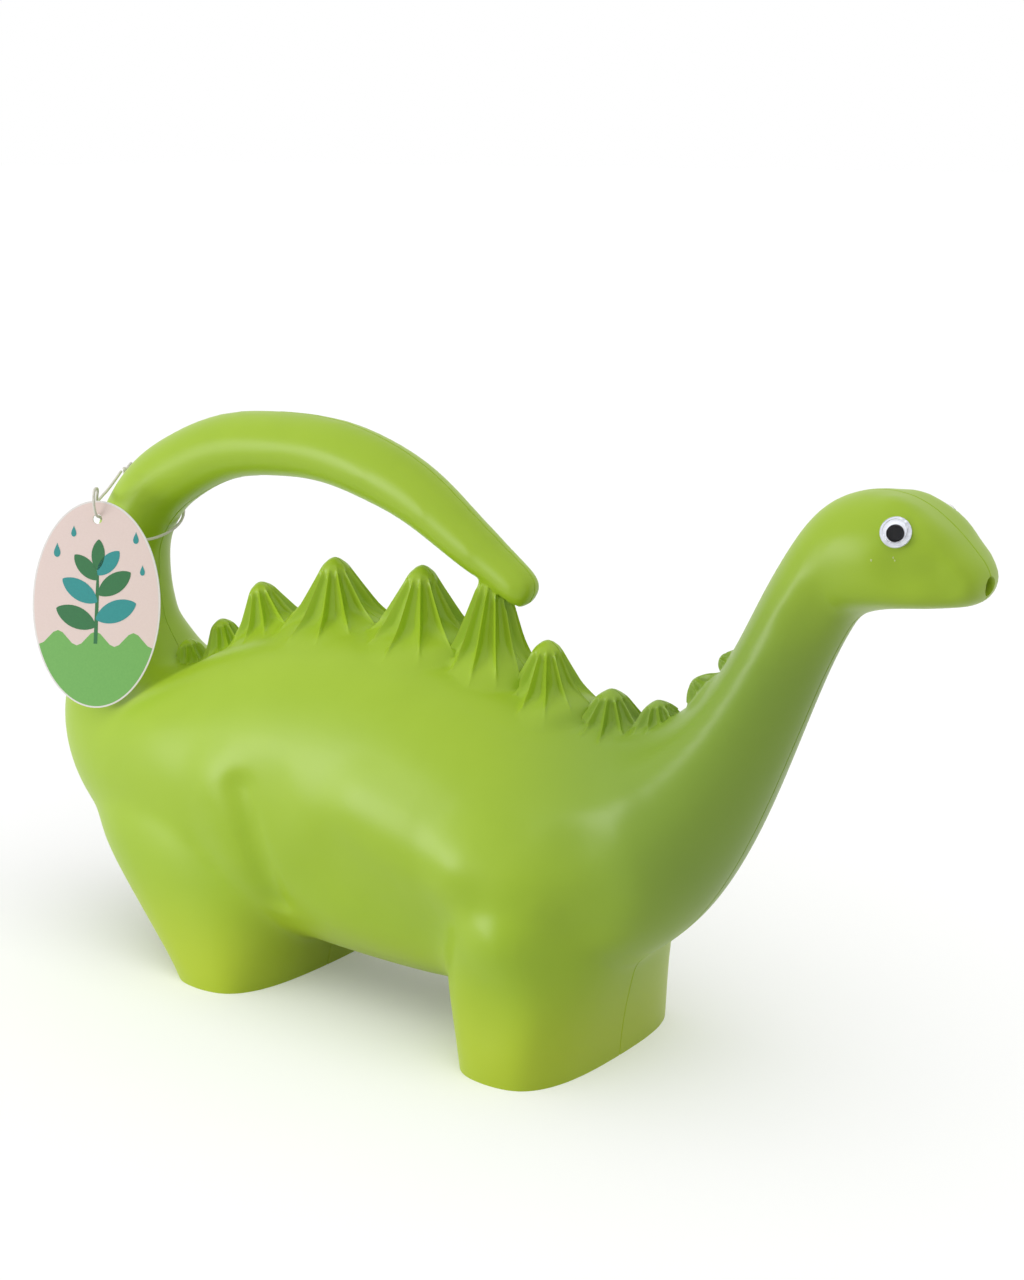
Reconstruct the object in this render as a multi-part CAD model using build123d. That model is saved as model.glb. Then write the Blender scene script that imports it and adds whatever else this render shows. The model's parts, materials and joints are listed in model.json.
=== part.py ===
"""Dinosaur-shaped watering can: two moulded half shells joined on the middle plane, with
glued-on wobble eyes and a card tag that hangs from the tail on a string.

X runs from the rump to the snout, Y to the can's left and Z up. The origin is on the floor,
under the middle of the can's length. All sizes are millimetres."""
from build123d import *
from math import copysign, cos, pi, radians, sin, tan
import os

# Overall sizes of the can
BODY_LENGTH = 420.0
BODY_WIDTH = 108.0
BACK_HEIGHT = 151.0
BELLY_HEIGHT = 17.0
HEAD_HEIGHT = 225.0
HANDLE_HEIGHT = 229.0
WALL = 2.4

# Neck, head and the two holes in the shell
NECK_WIDTH = 31.0
HEAD_WIDTH = 39.0
POUR_HOLE_DIAMETER = 6.0
POUR_HOLE_CUT = 19.0
FILL_HOLE_DIAMETER = 34.0
FILL_HOLE_HEIGHT = 103.0
FILL_HOLE_CUT = 34.0

# Tail, which bends forward over the back as the handle
GRIP_DIAMETER = 24.4
TAIL_TIP_DIAMETER = 14.5
TAIL_ROOT_DIAMETER = 32.0

# Leg blocks: the left and the right leg are one block across the can
FOOT_LENGTH = 48.6
FOOT_WIDTH = 100.0
FRONT_FOOT_X = 46.3
HIND_FOOT_X = -100.0
FRONT_LEG_HEIGHT = 76.0
HIND_LEG_HEIGHT = 90.0

# Spikes along the back: the largest has ribs of the full depth, and only the wide ones are hollow
SPIKE_RIBS = 12
SPIKE_RIB_DEPTH = 1.0
SPIKE_TIP_DIAMETER = 7.0
HOLLOW_SPIKE_HALF_WIDTH = 12.0

# Wobble eyes
EYE_DIAMETER = 10.0
EYE_BACK_THICKNESS = 0.7
EYE_COVER_WALL = 0.4
EYE_CHAMBER_DIAMETER = 7.2
EYE_CHAMBER_DEPTH = 1.3
EYE_DOME_RISE = 0.7
PUPIL_DIAMETER = 5.6
PUPIL_THICKNESS = 0.6
PUPIL_DROP = 0.5
PUPIL_PLAY = 0.15
GLUE_DIAMETER = 7.0
GLUE_THICKNESS = 0.5

# Card tag and its string
TAG_WIDTH = 54.5
TAG_HEIGHT = 84.5
TAG_THICKNESS = 0.7
TAG_HOLE_DIAMETER = 4.0
TAG_HOLE_MARGIN = 5.5
TAG_HOLE_PLACE = Vector(-164.2, -34.0, 182.6)
TAG_TURN = 27.0
TAG_LEAN = 10.0
CORD_DIAMETER = 1.2
KNOT_DIAMETER = 4.2
ARC_SHARE = 0.45

# Fullness of the cross-sections: 2 is an ellipse, more is squarer
TAIL_FULLNESS = 2.15
BODY_FULLNESS = 2.3
RING_POINTS = 16
TAIL_RINGS = 12

# The tail's centre line from tip to root: share of the half length, share of the grip's height
TAIL_LINE = [(0.135, 0.786), (0.030, 0.848), (-0.176, 0.962), (-0.435, 1.000),
             (-0.687, 0.939), (-0.838, 0.812), (-0.862, 0.729)]
TAIL_SEAT_SHARE = 0.075
TAIL_TAPER_END = 0.30
TAIL_SWELL_START = 0.55

# Rings of the tail's rounded tip: share of the centre line, share of the thickness there
TAIL_TIP_RINGS = [(0.0, 0.55), (0.018, 0.93)]

# Rump and torso rings: the back point, then the belly point, each as a share of the half
# length and a share of the height from belly to back, then a share of the half width
RUMP_RINGS = [
    (-0.780, 0.920, -0.952, 0.930, 0.325),
    (-0.748, 0.800, -0.986, 0.755, 0.445),
    (-0.710, 0.740, -1.000, 0.600, 0.630),
    (-0.657, 0.760, -0.967, 0.410, 0.795),
    (-0.595, 0.820, -0.867, 0.215, 0.907),
    (-0.500, 0.903, -0.690, 0.060, 0.963),
]
TORSO_RINGS = [
    (-0.371, 0.970, -0.452, 0.008, 0.982),
    (-0.214, 1.000, -0.229, 0.000, 1.000),
    (-0.048, 0.985, -0.024, 0.000, 1.000),
    (0.105, 0.918, 0.157, 0.022, 0.963),
]
CHEST_RINGS = [
    (0.224, 0.850, 0.295, 0.082, 0.870),
    (0.324, 0.820, 0.412, 0.208, 0.774),
    (0.410, 0.846, 0.498, 0.335, 0.648),
    (0.483, 0.933, 0.568, 0.504, 0.528),
]

# Neck rings: the nape point, then the throat point, each as a share of the half length and
# a share of the head's height, then a share of the neck's half width
NECK_RINGS = [
    (0.540, 0.693, 0.626, 0.489, 1.452),
    (0.579, 0.760, 0.678, 0.620, 1.194),
    (0.614, 0.831, 0.724, 0.724, 1.032),
    (0.648, 0.884, 0.755, 0.782, 1.000),
]

# Head rings in the same shares, with a share of the head's half width
HEAD_RINGS = [
    (0.688, 0.942, 0.771, 0.807, 0.846),
    (0.738, 0.984, 0.793, 0.816, 0.949),
    (0.810, 1.000, 0.824, 0.824, 1.000),
    (0.871, 0.992, 0.862, 0.831, 0.974),
    (0.919, 0.969, 0.907, 0.837, 0.846),
    (0.957, 0.940, 0.948, 0.842, 0.667),
    (0.986, 0.911, 0.981, 0.851, 0.487),
    (1.000, 0.896, 0.999, 0.866, 0.256),
]
EYE_ALONG = 0.874
EYE_UP = 0.951
POUR_HOLE_UP = 0.876

# Leg rings from the floor up: share of the leg's height, reach behind and ahead of the foot's
# middle as shares of half the foot's length, share of the foot's width, fullness
FRONT_LEG_RINGS = [
    (0.00, 1.00, 1.00, 1.00, 2.9),
    (0.18, 1.16, 1.06, 1.01, 2.8),
    (0.38, 1.37, 1.18, 1.03, 2.6),
    (0.60, 1.64, 1.39, 1.04, 2.4),
    (0.80, 1.75, 1.52, 0.99, 2.2),
    (1.00, 1.55, 1.45, 0.82, 2.0),
]
HIND_LEG_RINGS = [
    (0.00, 1.00, 1.00, 1.00, 2.9),
    (0.13, 1.44, 1.21, 1.01, 2.8),
    (0.33, 2.32, 1.58, 1.03, 2.6),
    (0.55, 3.20, 2.00, 1.04, 2.3),
    (0.78, 3.55, 2.10, 0.98, 2.1),
    (1.00, 3.00, 1.80, 0.80, 2.0),
]

# Spikes from rump to nape: foot's place as a share of the half length, rise over the back,
# how far the tip lies ahead of the foot, half length and half width of the foot
SPIKES = [
    (-0.700, 11.0, -3.0, 11.0, 10.0),
    (-0.600, 13.0, -4.0, 11.5, 10.0),
    (-0.471, 17.5, -8.5, 19.0, 15.0),
    (-0.298, 23.0, -4.0, 26.0, 19.0),
    (-0.090, 25.0, -3.0, 26.0, 19.0),
    (0.057, 0.0, 0.0, 21.0, 18.0),
    (0.181, 20.0, -1.0, 18.0, 16.0),
    (0.314, 13.5, -0.5, 16.0, 14.0),
    (0.414, 8.5, -2.0, 12.0, 10.0),
    (0.500, 4.0, -6.0, 10.0, 9.0),
    (0.560, 0.5, -7.5, 8.0, 7.0),
]
TAIL_SPIKE = 5

# A spike's rings from foot to tip: share of its rise, share of the cone's thickness there
SPIKE_RINGS = [(0.0, 1.0), (0.5, 1.0), (0.85, 1.0), (0.97, 0.75), (1.0, 0.4)]
SPIKE_SINK_SHARE = 0.35
SPIKE_TIP_SHARE = 0.3

# The string's route: from the knot on the tail, over the card's edge, through the hole from
# the front, then round the inner and the far side of the tail, back to the knot
CORD_ROUTE = [
    (-182.9, -3.0, 196.6), (-181.0, -12.5, 198.2), (-176.0, -21.5, 199.3), (-169.5, -29.5, 198.0),
    (-164.6, -35.0, 194.6), (-162.6, -37.9, 189.8), (-163.5, -35.4, 184.0), (-165.3, -31.9, 183.3),
    (-164.5, -25.5, 179.3), (-160.5, -17.5, 175.0), (-156.3, -7.5, 172.6), (-156.2, 5.4, 173.5),
    (-161.6, 15.2, 178.0), (-170.5, 18.2, 185.2), (-179.2, 12.6, 192.2), (-183.1, 2.5, 196.4),
]


def half_length(share):
    return share * BODY_LENGTH / 2


def torso_height(share):
    return BELLY_HEIGHT + share * (BACK_HEIGHT - BELLY_HEIGHT)


def signed_power(value, power):
    return copysign(abs(value) ** power, value)


def ring(top, bottom, half_width, fullness):
    """A closed cross-section between two points of the middle plane, a superellipse."""
    middle = (top + bottom) / 2
    reach = (top - bottom) / 2
    points = []
    for step in range(RING_POINTS):
        angle = 2 * pi * step / RING_POINTS
        along = signed_power(cos(angle), 2 / fullness)
        across = signed_power(sin(angle), 2 / fullness)
        points.append(middle + reach * along + Vector(0, half_width * across, 0))
    return make_face(Spline(*points, periodic=True))


def inset(section, depth):
    """The same cross-section, drawn in by a wall's depth all round."""
    top, bottom, half_width, fullness = section
    inward = (bottom - top).normalized() * depth
    return top + inward, bottom - inward, half_width - depth, fullness


def skin(sections):
    return loft([ring(*section) for section in sections])


def sewn(spans):
    """One solid from lofts in a row, each of which starts on the last ring of the one before."""
    faces = [ring(*spans[0][0]).face(), ring(*spans[-1][-1]).face()]
    for span in spans:
        faces += skin(span).faces().filter_by(GeomType.PLANE, reverse=True)
    return Solid(Shell(faces))


def tail_diameter(share):
    """The tail tapers to its tip, keeps one size at the grip and swells to its root."""
    if share < TAIL_TAPER_END:
        return TAIL_TIP_DIAMETER + (GRIP_DIAMETER - TAIL_TIP_DIAMETER) * share / TAIL_TAPER_END
    if share > TAIL_SWELL_START:
        swell = (share - TAIL_SWELL_START) / (1 - TAIL_SWELL_START)
        return GRIP_DIAMETER + (TAIL_ROOT_DIAMETER - GRIP_DIAMETER) * swell
    return GRIP_DIAMETER


def tail_line():
    grip_height = HANDLE_HEIGHT - GRIP_DIAMETER / 2
    return Spline(*[Vector(half_length(x), 0, z * grip_height) for x, z in TAIL_LINE])


def tail_section(line, share, size=1.0):
    middle = line @ share
    tangent = line % share
    outward = Vector(tangent.Z, 0, -tangent.X)
    radius = size * tail_diameter(share) / 2
    return middle - outward * radius, middle + outward * radius, radius, TAIL_FULLNESS


def tail_sections():
    """Rings from the rounded tip to the root."""
    line = tail_line()
    tip = [tail_section(line, share, size) for share, size in TAIL_TIP_RINGS]
    return tip + [tail_section(line, step / TAIL_RINGS) for step in range(1, TAIL_RINGS + 1)]


def torso_sections(rings):
    sections = []
    for back_x, back_z, belly_x, belly_z, width in rings:
        back = Vector(half_length(back_x), 0, torso_height(back_z))
        belly = Vector(half_length(belly_x), 0, torso_height(belly_z))
        sections.append((back, belly, width * BODY_WIDTH / 2, BODY_FULLNESS))
    return sections


def head_sections(rings, full_width):
    sections = []
    for nape_x, nape_z, throat_x, throat_z, width in rings:
        nape = Vector(half_length(nape_x), 0, nape_z * HEAD_HEIGHT)
        throat = Vector(half_length(throat_x), 0, throat_z * HEAD_HEIGHT)
        sections.append((nape, throat, width * full_width / 2, BODY_FULLNESS))
    return sections


def leg_sections(rings, foot_x, height):
    half_foot = FOOT_LENGTH / 2
    sections = []
    for rise, rear, front, width, fullness in rings:
        ahead = Vector(foot_x + front * half_foot, 0, rise * height)
        behind = Vector(foot_x - rear * half_foot, 0, rise * height)
        sections.append((ahead, behind, width * FOOT_WIDTH / 2, fullness))
    return sections


def trunk_spans():
    """Tail, rump, torso, chest, neck and head, each from the last ring of the one before."""
    tail = tail_sections()
    rump = torso_sections(RUMP_RINGS)
    torso = torso_sections(TORSO_RINGS)
    chest = torso_sections(CHEST_RINGS)
    neck = head_sections(NECK_RINGS, NECK_WIDTH)
    head = head_sections(HEAD_RINGS, HEAD_WIDTH)
    return [
        tail + rump[:1],
        rump,
        rump[-1:] + torso,
        torso[-1:] + chest,
        chest[-1:] + neck,
        neck[-1:] + head,
    ]


def back_point(share):
    """The point of the back's middle line at a share of the half length."""
    x = half_length(share)
    rings = torso_sections(RUMP_RINGS[2:] + TORSO_RINGS + CHEST_RINGS)
    backs = [section[0] for section in rings + head_sections(NECK_RINGS, NECK_WIDTH)]
    for first, second in zip(backs, backs[1:]):
        if first.X <= x <= second.X:
            return first + (second - first) * ((x - first.X) / (second.X - first.X))
    raise ValueError("the spike's foot is off the back")


def spike_ends(number):
    along, rise, lead = SPIKES[number][:3]
    foot = back_point(along)
    if number == TAIL_SPIKE:
        return foot, tail_line() @ TAIL_SEAT_SHARE
    return foot, foot + Vector(lead, 0, rise)


def spike(number):
    """A cone with ribs down its side and a rounded tip, sunk into the back at its foot."""
    half_long, half_wide = SPIKES[number][3:]
    foot, tip = spike_ends(number)
    axis = (tip - foot).normalized()
    rise = (tip - foot).length
    ahead = Vector(axis.Z, 0, -axis.X)
    tip_radius = min(SPIKE_TIP_DIAMETER / 2, SPIKE_TIP_SHARE * half_long)
    full_depth = SPIKE_RIB_DEPTH * half_long / max(row[3] for row in SPIKES)
    sections = []
    for share, fullness in [(-SPIKE_SINK_SHARE * half_long / rise, 1.0)] + SPIKE_RINGS:
        taper = 1 - max(share, 0.0)
        long_radius = (tip_radius + (half_long - tip_radius) * taper) * fullness
        wide_radius = (tip_radius + (half_wide - tip_radius) * taper) * fullness
        depth = full_depth * taper
        points = []
        for step in range(2 * SPIKE_RIBS):
            angle = pi * step / SPIKE_RIBS
            groove = depth if step % 2 else 0.0
            along = (long_radius - groove) * cos(angle)
            across = (wide_radius - groove) * sin(angle)
            points.append(foot + axis * (share * rise) + ahead * along + Vector(0, across, 0))
        sections.append(make_face(Spline(*points, periodic=True)))
    return loft(sections)


def spike_core(number):
    """The hollow inside a spike, open to the tank below."""
    half_long, half_wide = SPIKES[number][3:]
    foot, tip = spike_ends(number)
    axis = (tip - foot).normalized()
    plane = Plane(foot - axis * 2 * WALL, x_dir=Vector(axis.Z, 0, -axis.X), z_dir=axis)
    rise = (tip - foot).length
    low = plane * Ellipse(half_long - 2 * WALL, half_wide - 2 * WALL)
    top = plane.offset(rise - WALL) * Ellipse(WALL / 2, WALL / 2)
    return loft([low, top])


def whole_body():
    """The can's outer form and its hollow, each as one solid."""
    spans = trunk_spans()
    legs = [leg_sections(FRONT_LEG_RINGS, FRONT_FOOT_X, FRONT_LEG_HEIGHT),
            leg_sections(HIND_LEG_RINGS, HIND_FOOT_X, HIND_LEG_HEIGHT)]
    form = sewn(spans)
    for leg in legs:
        form = form + skin(leg)
    for number in range(len(SPIKES)):
        form = form + spike(number)
    spans[0] = spans[0][1:]
    spans[-1] = spans[-1][:-1]
    hollow = sewn([[inset(section, WALL) for section in span] for span in spans])
    for leg in legs:
        floor = [(top + Vector(0, 0, WALL), bottom + Vector(0, 0, WALL), width, fullness)
                 for top, bottom, width, fullness in leg[:1]]
        hollow = hollow + skin([inset(section, WALL) for section in floor + leg[1:-1]])
    for number in range(len(SPIKES)):
        if SPIKES[number][4] > HOLLOW_SPIKE_HALF_WIDTH:
            hollow = hollow + spike_core(number)
    return form, hollow


def fill_hole():
    """The round mouth in the back of the rump, under the tail."""
    place = Plane((-BODY_LENGTH / 2, 0, FILL_HOLE_HEIGHT), x_dir=(0, 1, 0), z_dir=(1, 0, 0))
    return place * Cylinder(FILL_HOLE_DIAMETER / 2, FILL_HOLE_CUT)


def pour_hole():
    """The small hole in the snout's tip."""
    place = Plane((BODY_LENGTH / 2, 0, POUR_HOLE_UP * HEAD_HEIGHT), x_dir=(0, 1, 0), z_dir=(1, 0, 0))
    return place * Cylinder(POUR_HOLE_DIAMETER / 2, POUR_HOLE_CUT)


def half_shell(form, hollow):
    """The right half of the shell, cut on the middle plane."""
    shell = form - hollow - fill_hole() - pour_hole()
    return split(shell, bisect_by=Plane.XZ, keep=Keep.TOP)


def eye_plane():
    """The seat of the right eye on the head's skin, Z outward and Y up."""
    head = skin(head_sections(HEAD_RINGS, HEAD_WIDTH))
    line = Axis((half_length(EYE_ALONG), -BODY_WIDTH, EYE_UP * HEAD_HEIGHT), (0, 1, 0))
    place, outward = min(head.find_intersection_points(line), key=lambda hit: hit[0].Y)
    if outward.Y > 0:
        outward = -outward
    level = Vector(0, 0, 1).cross(outward).normalized()
    return Plane(place, x_dir=level, z_dir=outward)


def cap(radius, rise):
    """A shallow dome standing on the XY plane."""
    ball = (radius ** 2 + rise ** 2) / (2 * rise)
    lift = Align.CENTER, Align.CENTER, Align.MIN
    return Pos(0, 0, rise - ball) * Sphere(ball) & Cylinder(radius, rise, align=lift)


def disc(radius, low, high):
    lift = Align.CENTER, Align.CENTER, Align.MIN
    return Pos(0, 0, low) * Cylinder(radius, high - low, align=lift)


def eye_pieces(form):
    """Glue, backing disc, loose pupil and clear cover of the right eye."""
    seat = eye_plane()
    back_low = GLUE_THICKNESS
    back_high = back_low + EYE_BACK_THICKNESS
    chamber = EYE_CHAMBER_DIAMETER / 2
    chamber_top = back_high + EYE_CHAMBER_DEPTH
    pupil_low = back_high + PUPIL_PLAY
    glue = seat * disc(GLUE_DIAMETER / 2, -GLUE_DIAMETER / 4, back_low) - form
    back = disc(EYE_DIAMETER / 2, back_low, back_high)
    pupil = Pos(0, -PUPIL_DROP, 0) * disc(PUPIL_DIAMETER / 2, pupil_low, pupil_low + PUPIL_THICKNESS)
    cover = disc(EYE_DIAMETER / 2, back_high, back_high + EYE_COVER_WALL)
    cover += disc(chamber + EYE_COVER_WALL, back_high, chamber_top)
    cover += Pos(0, 0, chamber_top) * cap(chamber + EYE_COVER_WALL, EYE_DOME_RISE + EYE_COVER_WALL)
    cover -= disc(chamber, back_high, chamber_top)
    cover -= Pos(0, 0, chamber_top) * cap(chamber, EYE_DOME_RISE)
    return {"eye_glue": glue, "eye_back": seat * back, "pupil": seat * pupil, "eye_cover": seat * cover}


def swing_tag():
    """An oval card that hangs from its hole, its face turned towards the head and leaning up."""
    drop = TAG_HEIGHT / 2 - TAG_HOLE_DIAMETER / 2 - TAG_HOLE_MARGIN
    card = Pos(0, -drop) * Ellipse(TAG_WIDTH / 2, TAG_HEIGHT / 2) - Circle(TAG_HOLE_DIAMETER / 2)
    turn = radians(TAG_TURN)
    lean = radians(TAG_LEAN)
    facing = Vector(sin(turn) * cos(lean), -cos(turn) * cos(lean), sin(lean))
    level = Vector(0, 0, 1).cross(facing)
    return Plane(TAG_HOLE_PLACE, x_dir=level, z_dir=facing) * extrude(card, TAG_THICKNESS / 2, both=True)


def tag_cord():
    """The string as a round tube along straight runs and the widest arcs they allow."""
    points = [Vector(*point) for point in CORD_ROUTE]
    radii = []
    for before, corner, after in zip(points, points[1:], points[2:]):
        run_in = corner - before
        run_out = after - corner
        turn = radians(run_in.get_angle(run_out))
        radii.append(ARC_SHARE * min(run_in.length, run_out.length) / tan(turn / 2))
    path = FilletPolyline(*points, radius=radii)
    profile = Plane(path @ 0, z_dir=path % 0) * Circle(CORD_DIAMETER / 2)
    print("cord length", round(path.length, 1), "radii", [round(radius, 1) for radius in radii])
    return sweep(profile, path=path)


def cord_knot(cord):
    """The knot that closes the string's loop, with the two ends of the string inside it."""
    middle = (Vector(*CORD_ROUTE[0]) + Vector(*CORD_ROUTE[-1])) / 2
    return Pos(*middle) * Sphere(KNOT_DIAMETER / 2) - cord


def main():
    form, hollow = whole_body()
    right_shell = half_shell(form, hollow)
    cord = tag_cord()
    nodes = {
        "right_shell": right_shell,
        "left_shell": mirror(right_shell, about=Plane.XZ),
        "swing_tag": swing_tag(),
        "tag_cord": cord,
        "cord_knot": cord_knot(cord),
    }
    for name, piece in eye_pieces(form).items():
        nodes["right_" + name] = piece
        nodes["left_" + name] = mirror(piece, about=Plane.XZ)
    os.makedirs("parts", exist_ok=True)
    for name, piece in nodes.items():
        export_step(piece, f"parts/{name}.step")


if __name__ == "__main__":
    main()
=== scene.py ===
"""A watering can moulded as a long-necked dinosaur, seen on a pale floor in soft light.

Lengths in the tables are millimetres in the can's own frame: X towards the snout, Y to the
can's left, Z up, with the floor at zero. MM turns them into metres."""
import json
import math
import bmesh
import bpy
from mathutils import Matrix, Vector
from mathutils.kdtree import KDTree

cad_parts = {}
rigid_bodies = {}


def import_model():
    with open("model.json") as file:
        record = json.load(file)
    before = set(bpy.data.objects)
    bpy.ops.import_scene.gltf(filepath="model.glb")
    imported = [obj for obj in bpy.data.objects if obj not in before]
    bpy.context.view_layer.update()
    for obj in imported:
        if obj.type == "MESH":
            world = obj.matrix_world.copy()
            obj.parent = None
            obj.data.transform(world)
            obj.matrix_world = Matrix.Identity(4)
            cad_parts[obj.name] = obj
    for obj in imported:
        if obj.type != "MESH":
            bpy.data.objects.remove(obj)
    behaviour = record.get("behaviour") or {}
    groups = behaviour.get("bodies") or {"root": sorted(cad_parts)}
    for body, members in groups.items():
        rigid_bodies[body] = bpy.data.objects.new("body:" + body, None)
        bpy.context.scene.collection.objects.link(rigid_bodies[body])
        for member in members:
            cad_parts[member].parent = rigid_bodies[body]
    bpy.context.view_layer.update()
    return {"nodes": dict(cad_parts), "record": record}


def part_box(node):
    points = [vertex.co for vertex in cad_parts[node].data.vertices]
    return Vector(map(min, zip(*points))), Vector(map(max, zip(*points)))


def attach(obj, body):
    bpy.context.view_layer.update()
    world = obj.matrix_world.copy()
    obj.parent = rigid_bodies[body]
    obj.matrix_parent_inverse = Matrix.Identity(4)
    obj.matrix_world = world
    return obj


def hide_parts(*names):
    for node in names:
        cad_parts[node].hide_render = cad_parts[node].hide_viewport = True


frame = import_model()
MM = 0.001

# The camera stands ahead of the can, on its right side, a little above the head
CAMERA_PLACE = (474.9, -605.0, 336.9)
CAMERA_AZIMUTH = 36.9
CAMERA_PITCH = 13.7
CAMERA_LENS = 59.06
CAMERA_NEAREST = 10.0

# Studio light: a broad glow from overhead and a lamp for the floor alone, by the way each shines,
# its spread in degrees and its strength; a soft box on the left, by its place, aim and side in mm
# and its watts; the surround's strength as a light and to the eye; the floor's side and own glow
OVERHEAD_WAY = (0.0, 0.2, -0.98)
OVERHEAD_SPREAD = 120.0
OVERHEAD_STRENGTH = 1.45
FLOOR_LAMP_WAY = (-0.45, 0.35, -0.82)
FLOOR_LAMP_SPREAD = 70.0
FLOOR_LAMP_STRENGTH = 0.9
SOFT_BOX_PLACE = (-520.0, -760.0, 160.0)
SOFT_BOX_AIM = (0.0, -20.0, 85.0)
SOFT_BOX_SIDE = 420.0
SOFT_BOX_POWER = 3.4
WORLD_LIGHT = 0.36
WORLD_WHITE = 1.0
FLOOR_SIDE = 30000.0
FLOOR_LIFT = 0.15

# Points round each ring of the trunk and legs, and rounds of subdivision over the rings
RING_POINTS = 24
RING_SUBDIVISIONS = 2

# Rings of the trunk from the tail's root to the snout: the back point's X and Z, the belly
# point's X and Z, the half width and the fullness, which is 2 for an ellipse and more for a
# squarer ring
TRUNK_RINGS = [
    (-165.0, 141.0, -198.5, 143.0, 16.5, 2.2),
    (-157.5, 125.0, -207.0, 119.0, 24.5, 2.2),
    (-149.0, 117.5, -210.5, 97.5, 34.0, 2.2),
    (-138.0, 120.0, -204.0, 72.0, 41.5, 2.2),
    (-125.0, 127.5, -184.0, 46.0, 47.5, 2.2),
    (-105.0, 138.5, -145.0, 25.0, 51.0, 2.3),
    (-78.0, 147.5, -95.0, 18.0, 51.0, 2.3),
    (-45.0, 151.5, -48.0, 16.0, 50.5, 2.3),
    (-10.0, 149.5, -5.0, 16.0, 50.5, 2.3),
    (22.0, 140.5, 33.0, 19.0, 50.0, 2.2),
    (47.0, 131.5, 62.0, 27.0, 46.5, 2.1),
    (68.0, 127.5, 86.5, 44.0, 42.5, 1.95),
    (86.0, 131.0, 105.0, 61.0, 36.5, 1.85),
    (101.5, 142.5, 119.5, 84.0, 30.0, 1.8),
    (113.5, 156.5, 131.5, 109.5, 24.0, 1.8),
    (121.5, 171.5, 143.2, 139.0, 19.5, 1.8),
    (129.0, 187.5, 152.6, 162.5, 17.0, 1.85),
    (136.0, 199.5, 159.4, 175.8, 16.5, 1.95),
    (144.5, 212.5, 162.8, 181.4, 17.0, 2.1),
    (155.0, 222.0, 167.0, 183.2, 18.8, 2.2),
    (170.0, 225.5, 173.0, 185.2, 20.0, 2.3),
    (182.5, 223.8, 180.6, 186.7, 19.5, 2.5),
    (192.3, 218.1, 190.2, 188.1, 17.0, 2.6),
    (200.6, 210.9, 198.8, 189.1, 13.8, 2.6),
    (206.8, 204.3, 205.4, 190.6, 10.4, 2.5),
    (209.2, 200.8, 208.8, 193.8, 6.4, 2.4),
]

# Leg blocks from under the floor up: front X, rear X, height, half width, fullness
FRONT_LEG_RINGS = [
    (70.5, 22.0, -9.0, 50.0, 2.9),
    (71.0, 21.2, -3.0, 50.6, 2.9),
    (71.4, 20.4, 5.0, 51.0, 2.9),
    (73.0, 17.0, 17.0, 51.0, 2.8),
    (75.5, 13.0, 29.0, 51.0, 2.6),
    (80.0, 7.0, 45.5, 51.0, 2.4),
    (83.0, 4.0, 61.0, 50.5, 2.2),
    (80.0, 10.0, 78.0, 42.0, 2.0),
]
HIND_LEG_RINGS = [
    (-77.0, -119.5, -9.0, 50.0, 2.9),
    (-75.4, -123.5, -3.0, 50.6, 2.9),
    (-74.0, -128.5, 5.0, 51.0, 2.9),
    (-70.5, -143.0, 17.0, 51.3, 2.8),
    (-67.0, -158.0, 29.5, 51.8, 2.6),
    (-62.0, -182.5, 49.5, 52.4, 2.35),
    (-60.0, -192.0, 70.0, 51.0, 2.15),
    (-68.0, -180.0, 92.0, 40.0, 2.0),
]

# The tail's centre line from tip to root: X, Z and thickness
TAIL_POINTS = [
    (30.3, 169.3, 5.0),
    (29.0, 170.1, 11.5),
    (25.6, 172.3, 15.0),
    (6.3, 184.2, 18.8),
    (-37.0, 208.0, 25.2),
    (-91.3, 215.8, 25.8),
    (-144.4, 203.6, 28.0),
    (-176.4, 176.6, 30.8),
    (-182.0, 155.0, 33.0),
    (-182.5, 128.0, 40.0),
]

# Spikes from the rump to the nape: the foot's X and Z, the tip's X and Z, half length, half width
SPIKES = [
    (-147.0, 116.5, -150.0, 128.0, 11.0, 10.0),
    (-126.0, 126.0, -130.0, 139.5, 11.5, 10.0),
    (-101.0, 140.0, -107.5, 158.0, 17.0, 15.0),
    (-64.5, 148.5, -66.5, 173.2, 22.5, 18.5),
    (-21.5, 149.5, -22.0, 175.5, 22.0, 18.5),
    (10.0, 143.0, 12.5, 180.0, 17.0, 16.5),
    (37.5, 134.0, 37.0, 154.8, 16.5, 15.5),
    (66.0, 127.0, 65.5, 141.0, 16.0, 14.0),
    (87.0, 131.0, 85.0, 140.0, 12.0, 10.0),
    (105.0, 146.0, 99.8, 149.8, 10.0, 9.0),
    (115.5, 157.5, 110.4, 159.0, 7.0, 6.0),
]

# How every spike is formed: ribs with sunk panels between them, a flared foot and a domed tip. Places
# round the spike are shares of the pitch from rib to rib, those on a rib are in its half widths,
# depths and the flare are shares of the radius, and heights are shares of the rise from foot to tip,
# up from the foot or down from the tip
SPIKE_RIBS = 12
SPIKE_RIB_HALF_WIDTH = 0.42
SPIKE_RIB_MOST_SHARE = 0.13
SPIKE_RIB_PLACES = (-2.4, -1.4, -0.7, 0.0, 0.7, 1.4, 2.4)
SPIKE_PANEL_MIDDLE = 0.5
SPIKE_PANEL_EDGE = 0.36
SPIKE_PANEL_DEPTH = 0.34
SPIKE_PANEL_BESIDE_RIB = 0.7
SPIKE_PANEL_DEEPENING = 0.6
SPIKE_PANEL_FOOT = (-0.05, 0.3)
SPIKE_PANEL_TOP = (0.1, 0.35)
SPIKE_FLARE = 0.14
SPIKE_FLARE_FADE = (-0.1, 0.35)
SPIKE_DOME = 4.2
SPIKE_DOME_MOST_SHARE = 0.36
SPIKE_CONE_TOP = 0.05
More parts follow.
